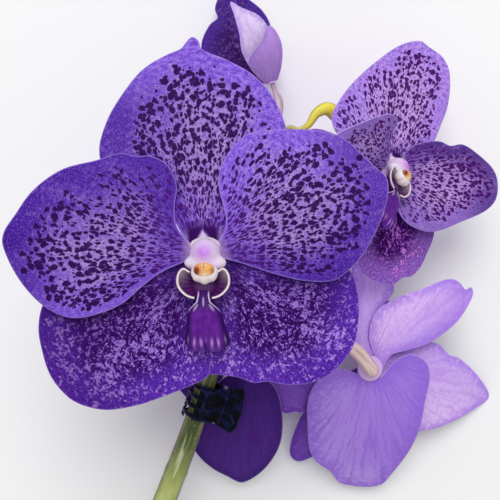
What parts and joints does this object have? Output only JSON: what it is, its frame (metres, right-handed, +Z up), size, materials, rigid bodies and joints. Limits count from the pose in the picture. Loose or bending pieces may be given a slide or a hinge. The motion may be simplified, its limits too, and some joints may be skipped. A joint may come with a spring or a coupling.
{
  "type": "cut vanda orchid spray",
  "caption": "Cut spray of blue-violet spotted vanda orchid lying on its back, with a small claw clip on its stem.",
  "frame": {"origin": "middle of the bounding box, on the surface that the spray lies on", "axes": "+Y runs up the spray from the cut end to the top bloom, +Z is up and the front bloom faces it, +X is right for someone who looks straight down"},
  "size_m": [0.1679, 0.2624, 0.102],
  "materials": {
    "stem": "satin",
    "tepal": "satin",
    "lip": "satin",
    "column": "satin",
    "clip": "gloss",
    "metal": "satin"
  },
  "bodies": {
    "spray": {"stem": "stem", "front_dorsal_sepal": "tepal", "front_left_petal": "tepal", "front_right_petal": "tepal", "front_left_lateral_sepal": "tepal", "front_right_lateral_sepal": "tepal", "front_lip": "lip", "front_column": "column", "upper_dorsal_sepal": "tepal", "upper_left_petal": "tepal", "upper_right_petal": "tepal", "upper_left_lateral_sepal": "tepal", "upper_right_lateral_sepal": "tepal", "upper_lip": "lip", "upper_column": "column", "lower_dorsal_sepal": "tepal", "lower_left_petal": "tepal", "lower_right_petal": "tepal", "lower_left_lateral_sepal": "tepal", "lower_right_lateral_sepal": "tepal", "lower_lip": "lip", "lower_column": "column", "bottom_dorsal_sepal": "tepal", "bottom_left_petal": "tepal", "bottom_right_petal": "tepal", "bottom_left_lateral_sepal": "tepal", "bottom_right_lateral_sepal": "tepal", "bottom_lip": "lip", "bottom_column": "column", "top_dorsal_sepal": "tepal", "top_left_petal": "tepal", "top_right_petal": "tepal", "top_left_lateral_sepal": "tepal", "top_right_lateral_sepal": "tepal", "top_lip": "lip", "top_column": "column", "clip_back_jaw": "clip", "clip_pin": "metal", "clip_spring": "metal"},
    "front_jaw": {"clip_front_jaw": "clip"}
  },
  "joints": [
    {"name": "clip_hinge", "type": "hinge", "parent": "spray", "child": "front_jaw", "pos_m": [-0.02455, -0.02706, 0.0389], "axis": [0.3121, 0.9262, 0.2114], "range_deg": [0, 35], "stiffness_Nm_per_rad": 0.02, "springref_deg": -34.38, "deforming": ["clip_spring"]}
  ]
}
